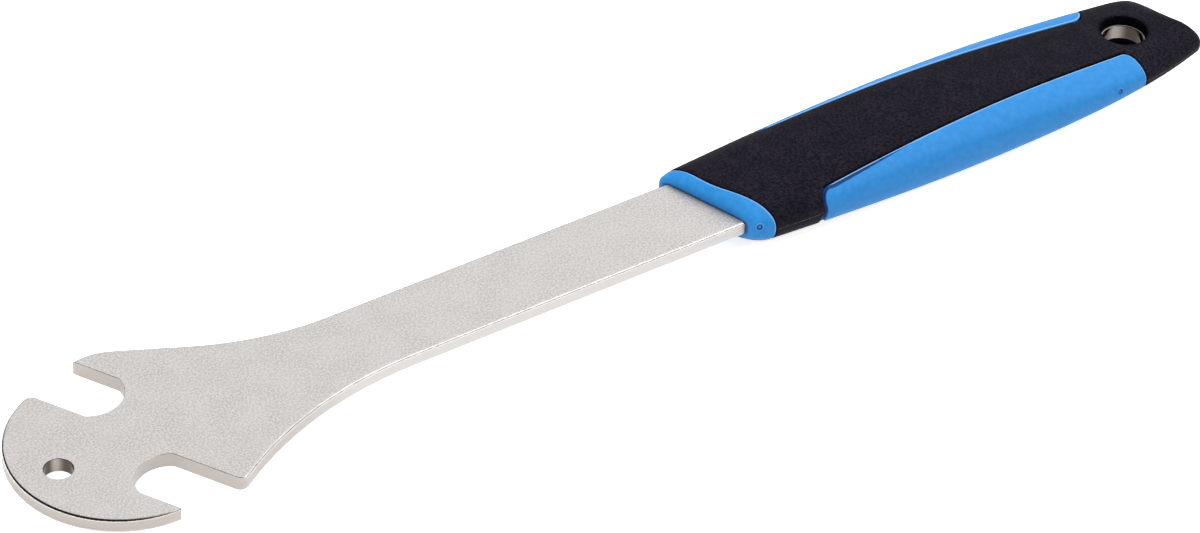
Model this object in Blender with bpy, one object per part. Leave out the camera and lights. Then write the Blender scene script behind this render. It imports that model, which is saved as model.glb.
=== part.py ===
# Pedal wrench: a flat steel blade with two slanted open jaws, held in a moulded two-material handle.
# Metres. X runs along the shaft from the head to the handle, Z is up, and z = 0 is the blade's top face.
# The origin is on that face, on the shaft's middle line, beside the centre of the head's round edge.
import math

import bmesh
import bpy

# Blade
PLATE_THICKNESS = 0.0038
PLATE_CHAMFER = 0.00035
SHAFT_WIDTH = 0.0223
HEAD_RADIUS = 0.0268
HEAD_OFFSET = -0.0024
HEAD_HOLE_RADIUS = 0.0035
HEAD_HOLE_CENTRE = (-0.0164, -0.0032)

# Jaws: two open-end jaws for the same pedal axle flats, opening to opposite sides
JAW_ACROSS_FLATS = 0.0151
JAW_ANGLE = math.radians(60.74)
JAW_SEAT_RELIEF = 0.00095
FAR_SEAT_CENTRE = (0.00256, 0.01657)
NEAR_SEAT_CENTRE = (0.00367, -0.01938)
JAW_CORNER_RADIUS = 0.002

# Neck: how each side of the head runs into the straight shaft
FAR_NECK_RADIUS = 0.076
FAR_NECK_END = 0.0641
FAR_NECK_ANGLE = math.radians(25.8)
FAR_HORN_RADIUS = 0.016
FAR_HORN_CENTRE_X = 0.008
NEAR_NECK_RADIUS = 0.101
NEAR_NECK_END = 0.074

# Handle: where it starts, its length, and where it is widest and thickest
COLLAR_FRONT = 0.1641
HANDLE_LENGTH = 0.1438
WIDEST_FROM_COLLAR = 0.078
THICKEST_FROM_COLLAR = 0.061

# How far the handle stands out beyond the shaft's sides, and how deep it covers the plate's faces
NOSE_SIDE = 0.0014
COLLAR_SIDE = 0.00385
SWELL_SIDE = 0.00595
TAIL_SIDE = 0.00045
NOSE_COVER = 0.0009
COLLAR_COVER = 0.00395
SWELL_COVER = 0.0071
TAIL_COVER = 0.0026

# Form of the swell and of the section: 2 is a plain curve or ellipse, and more is fuller
COLLAR_WIDTH_POWER = 2.0
TAIL_WIDTH_POWER = 3.1
COLLAR_THICKNESS_POWER = 1.5
TAIL_THICKNESS_POWER = 1.25
SECTION_POWER = 2.5

# Ends of the handle, both cut slantwise, with a rounded nose and a rounded tail
COLLAR_SLANT = math.radians(19.2)
TAIL_SLANT = math.radians(17.3)
SLANT_FADE = 0.036
NOSE_LENGTH = 0.005
TAIL_ROUND_LENGTH = 0.0042
TAIL_ROUND_WIDTH = 0.0042
TAIL_ROUND_THICKNESS = 0.0027

# Where the hard core shows through the soft grip, seen from above
COLLAR_FAR_BAND = 0.0029
COLLAR_NEAR_BAND = 0.0044
COLLAR_STEP_Y = -0.0045
COLLAR_STEP_SPREAD = 0.004
PANEL_FRONT_FROM_COLLAR = 0.0240
PANEL_TAIL_FROM_END = 0.0195
PANEL_FRONT_INSET = 0.0029
PANEL_TAIL_INSET = 0.0077
PANEL_FRONT_CORNER = 0.002
PANEL_TAIL_CORNER = 0.0035

# Hanging hole, through the tang and the grip near the handle's end
HANGING_HOLE_RADIUS = 0.00545
HANGING_HOLE_FROM_END = 0.0154
TANG_END_WALL = 0.00255
TANG_CORNER_RADIUS = 0.006
GRIP_HOLE_MARGIN = 0.00055
GRIP_HOLE_FLARE = 0.0008
GRIP_HOLE_FLARE_DEPTH = 0.0016

# Walls and clearances
GRIP_WALL = 0.0018
CORE_TAIL_WALL = 0.0022
FIT_GAP = 0.0003

# Mesh fineness
RING_POINTS = 40
HOLE_POINTS = 32
ARC_STEP = math.radians(9.0)
FINE_ARC_STEP = math.radians(4.5)
COARSE_ARC_STEP = math.radians(18.0)
END_SECTIONS = 5
MIDDLE_SECTIONS = 16
SLEEVE_SECTIONS = 14
COLLAR_EDGE_POINTS = 16
SETTLING_STEPS = 4
CHAMFER_ANGLE = math.radians(60.0)
STEEL_SHARP_ANGLE = math.radians(30.0)
PLASTIC_SHARP_ANGLE = math.radians(35.0)

QUARTER = math.pi / 2
HALF_SHAFT = SHAFT_WIDTH / 2
HALF_PLATE = PLATE_THICKNESS / 2
HALF_JAW = JAW_ACROSS_FLATS / 2
MID_Z = -HALF_PLATE
HANDLE_END = COLLAR_FRONT + HANDLE_LENGTH
HANGING_HOLE_X = HANDLE_END - HANGING_HOLE_FROM_END
GRIP_HOLE_RADIUS = HANGING_HOLE_RADIUS + GRIP_HOLE_MARGIN
TANG_END = HANGING_HOLE_X + HANGING_HOLE_RADIUS + TANG_END_WALL
CORE_REACH = HANGING_HOLE_X - GRIP_HOLE_RADIUS - CORE_TAIL_WALL - COLLAR_FRONT
TALL = 4 * (HALF_PLATE + SWELL_COVER)
WIDE = 2 * (HALF_SHAFT + SWELL_SIDE)


def clear_scene():
    for item in list(bpy.data.objects):
        bpy.data.objects.remove(item, do_unlink=True)


def make_material(name, colour, roughness, metallic):
    material = bpy.data.materials.new(name)
    material.use_nodes = True
    shader = material.node_tree.nodes["Principled BSDF"]
    shader.inputs["Base Color"].default_value = (*colour, 1.0)
    shader.inputs["Roughness"].default_value = roughness
    shader.inputs["Metallic"].default_value = metallic
    return material


def link_mesh(name, bm):
    bmesh.ops.recalc_face_normals(bm, faces=bm.faces)
    mesh = bpy.data.meshes.new(name)
    bm.to_mesh(mesh)
    bm.free()
    item = bpy.data.objects.new(name, mesh)
    bpy.context.collection.objects.link(item)
    return item


def shifted(point, heading, distance):
    """The point at a distance from another along a heading."""
    return (point[0] + distance * math.cos(heading), point[1] + distance * math.sin(heading))


def direction_to(start, end):
    return math.atan2(end[1] - start[1], end[0] - start[0])


def arc(centre, radius, start, end, step=ARC_STEP):
    """Points on an arc from the start angle to the end angle, both included."""
    count = max(1, math.ceil(abs(end - start) / step))
    return [shifted(centre, start + (end - start) * i / count, radius) for i in range(count + 1)]


def circle(centre, radius):
    return arc(centre, radius, 0.0, 2 * math.pi, 2 * math.pi / HOLE_POINTS)[:-1]


def line_meets_circle(point, heading, centre, radius, side=1):
    """Where a line leaves a circle along its heading, or with side -1 where it enters it."""
    ux, uy = math.cos(heading), math.sin(heading)
    px, py = point[0] - centre[0], point[1] - centre[1]
    along = px * ux + py * uy
    half_chord = math.sqrt(along * along - (px * px + py * py - radius * radius))
    return shifted(point, heading, side * half_chord - along)


def jaw_seat(centre, opening):
    """The jaw's round seat, from its counter-clockwise flat to its clockwise one."""
    radius = HALF_JAW + JAW_SEAT_RELIEF
    half = math.asin(HALF_JAW / radius)
    bottom = opening + math.pi
    return arc(centre, radius, bottom + half, bottom - half)


def far_side_of_neck():
    """A long hollow round, a straight run and the rounded back of the far jaw's horn."""
    neck = (FAR_NECK_END, HALF_SHAFT + FAR_NECK_RADIUS)
    points = arc(neck, FAR_NECK_RADIUS, -QUARTER, -QUARTER - FAR_NECK_ANGLE, FINE_ARC_STEP)
    back = QUARTER - FAR_NECK_ANGLE
    run = FAR_HORN_CENTRE_X + FAR_HORN_RADIUS * math.cos(back) - points[-1][0]
    run_end = shifted(points[-1], -FAR_NECK_ANGLE, run / math.cos(FAR_NECK_ANGLE))
    horn = shifted(run_end, back, -FAR_HORN_RADIUS)
    opening = math.pi - JAW_ANGLE
    flat = shifted(FAR_SEAT_CENTRE, opening - QUARTER, HALF_JAW)
    tip = line_meets_circle(flat, opening, horn, FAR_HORN_RADIUS)
    return points + arc(horn, FAR_HORN_RADIUS, back, direction_to(horn, tip))


def near_side_of_neck():
    """The near jaw's rounded corner, and the long hollow round from it to the shaft."""
    opening = -JAW_ANGLE
    neck = (NEAR_NECK_END, -HALF_SHAFT - NEAR_NECK_RADIUS)
    edge = shifted(NEAR_SEAT_CENTRE, opening + QUARTER, HALF_JAW + JAW_CORNER_RADIUS)
    reach = NEAR_NECK_RADIUS + JAW_CORNER_RADIUS
    centre = line_meets_circle(edge, opening, neck, reach, side=-1)
    turn = direction_to(centre, neck)
    points = arc(centre, JAW_CORNER_RADIUS, opening - QUARTER, turn, COARSE_ARC_STEP)
    return points + arc(neck, NEAR_NECK_RADIUS, turn + math.pi, QUARTER, FINE_ARC_STEP)[1:]


def head_edge():
    """The far jaw's rounded corner, and the head's round edge down to the near jaw's sharp tip."""
    head = (0.0, HEAD_OFFSET)
    opening = math.pi - JAW_ANGLE
    edge = shifted(FAR_SEAT_CENTRE, opening + QUARTER, HALF_JAW + JAW_CORNER_RADIUS)
    centre = line_meets_circle(edge, opening, head, HEAD_RADIUS - JAW_CORNER_RADIUS)
    turn = direction_to(head, centre)
    points = arc(centre, JAW_CORNER_RADIUS, opening - QUARTER, turn, COARSE_ARC_STEP)
    flat = shifted(NEAR_SEAT_CENTRE, -JAW_ANGLE - QUARTER, HALF_JAW)
    tip = line_meets_circle(flat, -JAW_ANGLE, head, HEAD_RADIUS)
    tip_angle = direction_to(head, tip) % (2 * math.pi)
    return points + arc(head, HEAD_RADIUS, turn, tip_angle, FINE_ARC_STEP)[1:]


def blade_outline():
    """The blade's outline, counter-clockwise from the tang's near corner."""
    corner = (TANG_END - TANG_CORNER_RADIUS, HALF_SHAFT - TANG_CORNER_RADIUS)
    tang = arc((corner[0], -corner[1]), TANG_CORNER_RADIUS, -QUARTER, 0.0)
    tang += arc(corner, TANG_CORNER_RADIUS, 0.0, QUARTER)
    far_jaw = jaw_seat(FAR_SEAT_CENTRE, math.pi - JAW_ANGLE)
    near_jaw = jaw_seat(NEAR_SEAT_CENTRE, -JAW_ANGLE)
    return tang + far_side_of_neck() + far_jaw + head_edge() + near_jaw + near_side_of_neck()


def prism(name, outline, low, high):
    """A closed solid that stands on an outline, from z = low to z = high."""
    bm = bmesh.new()
    floor = [bm.verts.new((x, y, low)) for x, y in outline]
    roof = [bm.verts.new((x, y, high)) for x, y in outline]
    bm.faces.new(floor)
    bm.faces.new(roof)
    for i in range(len(outline)):
        j = (i + 1) % len(outline)
        bm.faces.new((floor[i], floor[j], roof[j], roof[i]))
    return link_mesh(name, bm)


def loft(name, rings):
    """A closed solid through a row of sections that have the same number of points."""
    bm = bmesh.new()
    loops = [[bm.verts.new(point) for point in ring] for ring in rings]
    for one, two in zip(loops, loops[1:]):
        for i in range(len(one)):
            j = (i + 1) % len(one)
            bm.faces.new((one[i], one[j], two[j], two[i]))
    bm.faces.new(loops[0])
    bm.faces.new(loops[-1])
    return link_mesh(name, bm)


def boolean(target, operation, other):
    other.hide_render = True
    other.display_type = "WIRE"
    step = target.modifiers.new(f"{operation.lower()} {other.name}", "BOOLEAN")
    step.operation = operation
    step.solver = "EXACT"
    step.object = other


def split_across(item, x):
    """An edge right round a solid at a given x, where its flat faces then end."""
    bm = bmesh.new()
    bm.from_mesh(item.data)
    everything = bm.verts[:] + bm.edges[:] + bm.faces[:]
    bmesh.ops.bisect_plane(bm, geom=everything, plane_co=(x, 0.0, 0.0), plane_no=(1.0, 0.0, 0.0))
    bm.to_mesh(item.data)
    bm.free()


def make_blade():
    """The plate, with the bare head's faces kept apart from those that run on into the handle."""
    blade = prism("steel_blade", blade_outline(), -PLATE_THICKNESS, 0.0)
    split_across(blade, (NEAR_NECK_END + COLLAR_FRONT) / 2)
    holes = (
        ("head_hole", HEAD_HOLE_CENTRE, HEAD_HOLE_RADIUS),
        ("hanging_hole", (HANGING_HOLE_X, 0.0), HANGING_HOLE_RADIUS),
    )
    for name, centre, radius in holes:
        boolean(blade, "DIFFERENCE", prism(f"blade_{name}_cutter", circle(centre, radius), -TALL, TALL))
    bevel = blade.modifiers.new("edge chamfer", "BEVEL")
    bevel.width = PLATE_CHAMFER
    bevel.segments = 1
    bevel.limit_method = "ANGLE"
    bevel.angle_limit = CHAMFER_ANGLE
    return blade


def smoothstep(value):
    value = min(max(value, 0.0), 1.0)
    return value * value * (3 - 2 * value)


def half_width(x):
    """Half width of the handle's section: it swells gently, then draws in to the tail."""
    from_widest = x - COLLAR_FRONT - WIDEST_FROM_COLLAR
    if from_widest < 0:
        share = -from_widest / WIDEST_FROM_COLLAR
        drawn_in = (SWELL_SIDE - COLLAR_SIDE) * share**COLLAR_WIDTH_POWER
    else:
        share = from_widest / (HANDLE_LENGTH - WIDEST_FROM_COLLAR)
        drawn_in = (SWELL_SIDE - TAIL_SIDE) * share**TAIL_WIDTH_POWER
    return HALF_SHAFT + SWELL_SIDE - drawn_in


def half_thickness(x):
    """Half thickness of the handle's section: thickest before the middle, thin at the tail."""
    from_thickest = x - COLLAR_FRONT - THICKEST_FROM_COLLAR
    if from_thickest < 0:
        share = -from_thickest / THICKEST_FROM_COLLAR
        drop = (SWELL_COVER - COLLAR_COVER) * share**COLLAR_THICKNESS_POWER
    else:
        share = from_thickest / (HANDLE_LENGTH - THICKEST_FROM_COLLAR)
        drop = (SWELL_COVER - TAIL_COVER) * smoothstep(share**TAIL_THICKNESS_POWER)
    return HALF_PLATE + SWELL_COVER - drop


def rounding(distance, length):
    """From 0 at a rounded end to 1 where the round is over, along a quarter circle."""
    share = max(0.0, 1 - distance / length)
    return math.sqrt(1 - share * share)


def oval(angle):
    """A point of the unit oval section, fuller in its corners than an ellipse."""
    c, s = math.cos(angle), math.sin(angle)
    power = 2 / SECTION_POWER
    return math.copysign(abs(c) ** power, c), math.copysign(abs(s) ** power, s)


def slant_at(distance):
    """Slant of a section: that of the collar's front or the tail's end, and none between them."""
    collar = 1 - smoothstep((distance - NOSE_LENGTH) / SLANT_FADE)
    tail = 1 - smoothstep((HANDLE_LENGTH - distance - NOSE_LENGTH) / SLANT_FADE)
    return math.tan(COLLAR_SLANT) * collar + math.tan(TAIL_SLANT) * tail


def outer_ring(distance):
    """The handle's outer section at a distance from the collar's front."""
    nose = rounding(distance, NOSE_LENGTH)
    tail = 1 - rounding(HANDLE_LENGTH - distance, TAIL_ROUND_LENGTH)
    ring = []
    for i in range(RING_POINTS):
        across, up = oval(2 * math.pi * i / RING_POINTS)
        x = COLLAR_FRONT + distance
        for _ in range(SETTLING_STEPS):
            front = HALF_SHAFT + NOSE_SIDE
            y = (front + (half_width(x) - front) * nose - TAIL_ROUND_WIDTH * tail) * across
            x = COLLAR_FRONT + distance - slant_at(distance) * y
        front = HALF_PLATE + NOSE_COVER
        height = (front + (half_thickness(x) - front) * nose - TAIL_ROUND_THICKNESS * tail) * up
        ring.append((x, y, MID_Z + height))
    return ring


def inner_ring(distance, inset):
    """The section at a distance from the collar's front, drawn in by a wall of the grip."""
    ring = []
    for i in range(RING_POINTS):
        across, up = oval(2 * math.pi * i / RING_POINTS)
        x = COLLAR_FRONT + distance
        for _ in range(SETTLING_STEPS):
            y = (half_width(x) - inset) * across
            x = COLLAR_FRONT + distance - slant_at(min(distance, HANDLE_LENGTH / 2)) * y
        ring.append((x, y, MID_Z + (half_thickness(x) - inset) * up))
    return ring


def outer_body(name):
    """The whole outer form of the handle, with its sections close together in the rounded ends."""
    turns = [QUARTER * i / END_SECTIONS for i in range(END_SECTIONS + 1)]
    nose = [NOSE_LENGTH * (1 - math.cos(turn)) for turn in turns]
    tail = [HANDLE_LENGTH - TAIL_ROUND_LENGTH * (1 - math.cos(turn)) for turn in reversed(turns)]
    step = (tail[0] - nose[-1]) / MIDDLE_SECTIONS
    middle = [nose[-1] + step * i for i in range(1, MIDDLE_SECTIONS)]
    return loft(name, [outer_ring(distance) for distance in nose + middle + tail])


def inner_body(name, inset, start, end):
    """The form inside the grip's wall, between two distances from the collar's front."""
    step = (end - start) / SLEEVE_SECTIONS
    return loft(name, [inner_ring(start + step * i, inset) for i in range(SLEEVE_SECTIONS + 1)])


def collar_outline(gap):
    """The collar from above: a band behind the slanted front that widens on the near side, and a gap."""
    back = []
    for i in range(COLLAR_EDGE_POINTS + 1):
        y = WIDE * (2 * i / COLLAR_EDGE_POINTS - 1)
        widening = 1 / (1 + math.exp((y - COLLAR_STEP_Y) / COLLAR_STEP_SPREAD))
        band = COLLAR_FAR_BAND + (COLLAR_NEAR_BAND - COLLAR_FAR_BAND) * widening
        back.append((COLLAR_FRONT - math.tan(COLLAR_SLANT) * y + band + gap, y))
    front = COLLAR_FRONT - WIDE
    return [(front, WIDE), (front, -WIDE)] + back


def panel_outline(side, gap):
    """A side panel from above: a straight inner edge, two rounded corners, and room to spare outside."""
    front = COLLAR_FRONT + PANEL_FRONT_FROM_COLLAR
    tail = HANDLE_END - PANEL_TAIL_FROM_END
    front_offset = half_width(front) - PANEL_FRONT_INSET
    lean = math.atan2(front_offset - half_width(tail) + PANEL_TAIL_INSET, tail - front)

    def corner(end, radius, turn):
        """The centre of the round between the inner edge and an end of the panel."""
        x = end + turn * radius
        return (x, front_offset - (x - front) * math.tan(lean) + radius / math.cos(lean))

    front_corner = corner(front, PANEL_FRONT_CORNER, 1)
    tail_corner = corner(tail, PANEL_TAIL_CORNER, -1)
    down = 3 * QUARTER - lean
    points = [(tail + gap, WIDE), (front - gap, WIDE)]
    points += arc(front_corner, PANEL_FRONT_CORNER + gap, math.pi, down, COARSE_ARC_STEP)
    points += arc(tail_corner, PANEL_TAIL_CORNER + gap, down, 2 * math.pi, COARSE_ARC_STEP)
    return [(x, side * y) for x, y in points]


def tang_cutter(name):
    """Room for the tang with a gap all round, from well ahead of the collar to the tang's end."""
    start = COLLAR_FRONT - WIDE
    radius = TANG_CORNER_RADIUS + FIT_GAP
    corner = (TANG_END - TANG_CORNER_RADIUS, HALF_SHAFT - TANG_CORNER_RADIUS)
    outline = [(start, HALF_SHAFT + FIT_GAP), (start, -HALF_SHAFT - FIT_GAP)]
    outline += arc((corner[0], -corner[1]), radius, -QUARTER, 0.0, COARSE_ARC_STEP)
    outline += arc(corner, radius, 0.0, QUARTER, COARSE_ARC_STEP)
    return prism(name, outline, -PLATE_THICKNESS - FIT_GAP, FIT_GAP)


def make_core():
    """The hard core: a sleeve round the tang, with the collar and side panels that show outside."""
    core = inner_body("handle_core", GRIP_WALL, NOSE_LENGTH / 2, CORE_REACH)
    shown = (
        ("collar", collar_outline(0.0)),
        ("far_panel", panel_outline(1, 0.0)),
        ("near_panel", panel_outline(-1, 0.0)),
    )
    for name, outline in shown:
        piece = outer_body(f"core_{name}")
        boolean(piece, "INTERSECT", prism(f"core_{name}_window", outline, -TALL, TALL))
        boolean(core, "UNION", piece)
    boolean(core, "DIFFERENCE", tang_cutter("core_tang_cutter"))
    return core


def hanging_hole_cutter():
    """A round hole through the grip, with a flared mouth at each face."""
    mouth = half_thickness(HANGING_HOLE_X)
    wide = GRIP_HOLE_RADIUS + GRIP_HOLE_FLARE
    levels = [(mouth - GRIP_HOLE_FLARE_DEPTH, GRIP_HOLE_RADIUS), (mouth, wide), (TALL, wide)]
    levels = [(-height, radius) for height, radius in reversed(levels)] + levels
    rings = []
    for height, radius in levels:
        rings.append([(x, y, MID_Z + height) for x, y in circle((HANGING_HOLE_X, 0.0), radius)])
    return loft("grip_hole_cutter", rings)


def make_grip():
    """The soft grip: a skin over the core, open at the collar and the panels, and solid round the tail."""
    grip = outer_body("soft_grip")
    boolean(grip, "DIFFERENCE", prism("grip_collar_cutter", collar_outline(FIT_GAP), -TALL, TALL))
    for side, name in ((1, "far"), (-1, "near")):
        window = prism(f"grip_{name}_window", panel_outline(side, FIT_GAP), -TALL, TALL)
        boolean(grip, "DIFFERENCE", window)
    hollow = inner_body("grip_core_cutter", GRIP_WALL - FIT_GAP, 0.0, CORE_REACH + FIT_GAP)
    boolean(grip, "DIFFERENCE", hollow)
    boolean(grip, "DIFFERENCE", tang_cutter("grip_tang_cutter"))
    boolean(grip, "DIFFERENCE", hanging_hole_cutter())
    return grip


def finish(item, material, sharp_angle):
    item.data.materials.append(material)
    item.data.shade_smooth()
    item.data.set_sharp_from_angle(angle=sharp_angle)


def main():
    clear_scene()
    steel = make_material("satin nickel plated steel", (0.66, 0.63, 0.61), 0.38, 1.0)
    hard = make_material("blue hard plastic", (0.048, 0.266, 0.687), 0.35, 0.0)
    soft = make_material("black soft grip", (0.017, 0.016, 0.021), 0.62, 0.0)
    finish(make_blade(), steel, STEEL_SHARP_ANGLE)
    finish(make_core(), hard, PLASTIC_SHARP_ANGLE)
    finish(make_grip(), soft, PLASTIC_SHARP_ANGLE)


main()
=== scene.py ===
import math

import bpy
from mathutils import Matrix, Vector, kdtree


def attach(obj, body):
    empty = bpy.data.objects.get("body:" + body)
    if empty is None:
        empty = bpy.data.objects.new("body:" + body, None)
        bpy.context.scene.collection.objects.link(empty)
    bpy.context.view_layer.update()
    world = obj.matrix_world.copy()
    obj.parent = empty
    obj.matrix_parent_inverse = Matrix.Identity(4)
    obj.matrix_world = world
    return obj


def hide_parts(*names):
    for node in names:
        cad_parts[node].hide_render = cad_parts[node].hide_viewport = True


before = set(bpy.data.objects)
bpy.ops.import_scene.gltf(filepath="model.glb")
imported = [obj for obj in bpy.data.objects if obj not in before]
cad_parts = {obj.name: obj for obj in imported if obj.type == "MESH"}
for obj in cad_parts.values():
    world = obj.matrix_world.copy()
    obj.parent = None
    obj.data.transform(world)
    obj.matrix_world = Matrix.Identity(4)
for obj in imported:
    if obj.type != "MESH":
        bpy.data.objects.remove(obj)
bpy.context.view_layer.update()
mm = 0.001
quarter = math.pi / 2
together = 0.001 * mm  # points this near to each other are one


# Small helpers

def turnTo(mode):
    bpy.ops.object.mode_set(mode=mode)


def deselect():
    if bpy.context.mode != "OBJECT":
        turnTo("OBJECT")
    bpy.ops.object.select_all(action="DESELECT")


def pick(piece):
    deselect()
    piece.select_set(True)
    bpy.context.view_layer.objects.active = piece


def named(name):
    piece = bpy.context.object
    piece.name = name
    piece.data.name = name
    return piece


def change(piece, kind, **settings):
    # a modifier is set and applied at once
    step = piece.modifiers.new("step", kind)
    for name, value in settings.items():
        setattr(step, name, value)
    pick(piece)
    bpy.ops.object.modifier_apply(modifier=step.name)


def cut(piece, tool):
    # the tool is taken away from the piece and then removed
    change(piece, "BOOLEAN", operation="DIFFERENCE", solver="EXACT", object=tool)
    bpy.data.objects.remove(tool, do_unlink=True)


def smooth(piece, degrees):
    pick(piece)
    bpy.ops.object.shade_smooth_by_angle(angle=math.radians(degrees))


def placeInMesh(piece):
    pick(piece)
    bpy.ops.object.transform_apply(location=True, rotation=True, scale=True)


def faceOut():
    # the faces of the piece in hand are turned outwards
    bpy.ops.mesh.select_all(action="SELECT")
    bpy.ops.mesh.normals_make_consistent(inside=False)
    turnTo("OBJECT")


def ease(value):
    value = min(max(value, 0.0), 1.0)
    return value * value * (3 - 2 * value)


def blendOf(one, two, share):
    return one + (two - one) * share


def crowded(count):
    # shares from 0 to 1 that stand close together at both ends
    return [(1 - math.cos(math.pi * k / count)) / 2 for k in range(count + 1)]


# Steel blade: one plate, its outline traced point by point and arc by arc
blade = {
    "thickness": 3.8 * mm,
    "shaftWidth": 22.3 * mm,
    "headRadius": 26.8 * mm,
    "headCentre": (0.0, -2.4 * mm),
    "holeRadius": 3.5 * mm,
    "holeCentre": (-16.4 * mm, -3.2 * mm),
    "acrossFlats": 15.1 * mm,
    "jawAngle": math.radians(60.74),
    "seatRelief": 0.95 * mm,
    "farSeat": (2.56 * mm, 16.57 * mm),
    "nearSeat": (3.67 * mm, -19.38 * mm),
    "jawCorner": 2.0 * mm,
    "farNeckRadius": 76 * mm,
    "farNeckEnd": 64.1 * mm,
    "farNeckAngle": math.radians(25.8),
    "farHornRadius": 16 * mm,
    "farHornX": 8 * mm,
    "nearNeckRadius": 101 * mm,
    "nearNeckEnd": 74 * mm,
    "boreX": 292.5 * mm,
    "boreRadius": 5.25 * mm,
    "tangEnd": 300.5 * mm,
    "tangCorner": 6 * mm,
    "arcStep": math.radians(2.5),
    "outlineMerge": 0.02 * mm,
    "holeSides": 72,
    "boreSides": 96,
    "edgeRound": 0.7 * mm,  # rolled edge of the stamped outline
    "jawEdge": 0.13 * mm,  # milled jaws and drilled holes are nearly sharp
    "boreEdge": 0.13 * mm,
    "tipEdge": 0.34 * mm,
    "edgeSteps": 4,
    "edgeProfile": 0.55,
    "sharpest": math.radians(25),  # edges that turn less than this stay as they are
    "slack": 0.05 * mm,  # how far off a place still counts as on a line of the outline
    "smoothAngle": 30,
}
midZ = -blade["thickness"] / 2
halfShaft = blade["shaftWidth"] / 2
halfPlate = blade["thickness"] / 2


def along(point, heading, distance):
    return (point[0] + distance * math.cos(heading), point[1] + distance * math.sin(heading))


def headingTo(start, end):
    return math.atan2(end[1] - start[1], end[0] - start[0])


def meet(point, heading, centre, radius, side=1):
    # where a line leaves a circle, or with side -1 where it enters it
    ux, uy = math.cos(heading), math.sin(heading)
    px, py = point[0] - centre[0], point[1] - centre[1]
    reach = px * ux + py * uy
    chord = math.sqrt(reach * reach - (px * px + py * py - radius * radius))
    return along(point, heading, side * chord - reach)


def lineTo(point):
    # the last point of the outline is drawn out to the next one
    here = bpy.context.object.data
    turnTo("OBJECT")
    last = [corner for corner in here.vertices if corner.select][0].co.copy()
    turnTo("EDIT")
    move = Vector((point[0], point[1], 0.0)) - last
    bpy.ops.mesh.extrude_region_move(TRANSFORM_OT_translate={"value": move})


def arcRound(centre, turn):
    # the last point of the outline is spun about a centre, counter-clockwise when turn is positive
    steps = max(2, math.ceil(abs(turn) / blade["arcStep"]))
    bpy.ops.mesh.spin(steps=steps, angle=-turn, center=(centre[0], centre[1], 0.0), axis=(0, 0, 1))


def seatArc(centre, opening):
    # the round bottom of a jaw, from one flat to the other
    half = blade["acrossFlats"] / 2
    radius = half + blade["seatRelief"]
    spread = math.asin(half / radius)
    lineTo(along(centre, opening + math.pi + spread, radius))
    arcRound(centre, -2 * spread)


def drawOutline():
    half = blade["acrossFlats"] / 2
    slope = blade["farNeckAngle"]
    corner = (blade["tangEnd"] - blade["tangCorner"], halfShaft - blade["tangCorner"])
    deselect()
    bpy.ops.mesh.primitive_circle_add(vertices=3, radius=1 * mm)
    outline = named("steelBlade")
    turnTo("EDIT")
    bpy.ops.mesh.merge(type="CENTER")
    bpy.ops.transform.translate(value=(corner[0], -halfShaft, 0.0))
    arcRound((corner[0], -corner[1]), quarter)
    lineTo((blade["tangEnd"], corner[1]))
    arcRound(corner, quarter)
    # far side: the neck's long hollow, a straight run, the horn's round back
    lineTo((blade["farNeckEnd"], halfShaft))
    neck = (blade["farNeckEnd"], halfShaft + blade["farNeckRadius"])
    arcRound(neck, -slope)
    start = along(neck, -quarter - slope, blade["farNeckRadius"])
    run = blade["farHornX"] + blade["farHornRadius"] * math.cos(quarter - slope) - start[0]
    end = along(start, -slope, run / math.cos(slope))
    lineTo(end)
    horn = along(end, quarter - slope, -blade["farHornRadius"])
    farWay = math.pi - blade["jawAngle"]
    tip = meet(along(blade["farSeat"], farWay - quarter, half), farWay, horn, blade["farHornRadius"])
    arcRound(horn, headingTo(horn, tip) - (quarter - slope))
    # far jaw, its rounded corner and the head's round edge
    seatArc(blade["farSeat"], farWay)
    head, headRadius, small = blade["headCentre"], blade["headRadius"], blade["jawCorner"]
    edge = along(blade["farSeat"], farWay + quarter, half + small)
    centre = meet(edge, farWay, head, headRadius - small)
    lineTo(along(centre, farWay - quarter, small))
    turn = headingTo(head, centre)
    arcRound(centre, turn - farWay + quarter)
    blade["corners"] = [(centre, farWay - quarter, turn - farWay + quarter)]
    nearWay = -blade["jawAngle"]
    point = meet(along(blade["nearSeat"], nearWay - quarter, half), nearWay, head, headRadius)
    blade["tips"] = (tip, point)
    arcRound(head, headingTo(head, point) % (2 * math.pi) - turn)
    # near jaw, its rounded corner and the long hollow back to the shaft
    seatArc(blade["nearSeat"], nearWay)
    neck = (blade["nearNeckEnd"], -halfShaft - blade["nearNeckRadius"])
    edge = along(blade["nearSeat"], nearWay + quarter, half + small)
    centre = meet(edge, nearWay, neck, blade["nearNeckRadius"] + small, -1)
    turn = headingTo(centre, neck)
    lineTo(along(centre, nearWay - quarter, small))
    arcRound(centre, turn - nearWay + quarter)
    blade["corners"].append((centre, nearWay - quarter, turn - nearWay + quarter))
    arcRound(neck, quarter - (turn + math.pi))
    lineTo((corner[0], -halfShaft))
    bpy.ops.mesh.select_all(action="SELECT")
    bpy.ops.mesh.remove_doubles(threshold=blade["outlineMerge"])
    return outline


def drillHole(piece, x, y, radius, sides):
    deselect()
    bpy.ops.mesh.primitive_cylinder_add(vertices=sides, radius=radius, depth=6 * blade["thickness"],
                                        location=(x, y, midZ))
    cut(piece, named("drill"))


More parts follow.
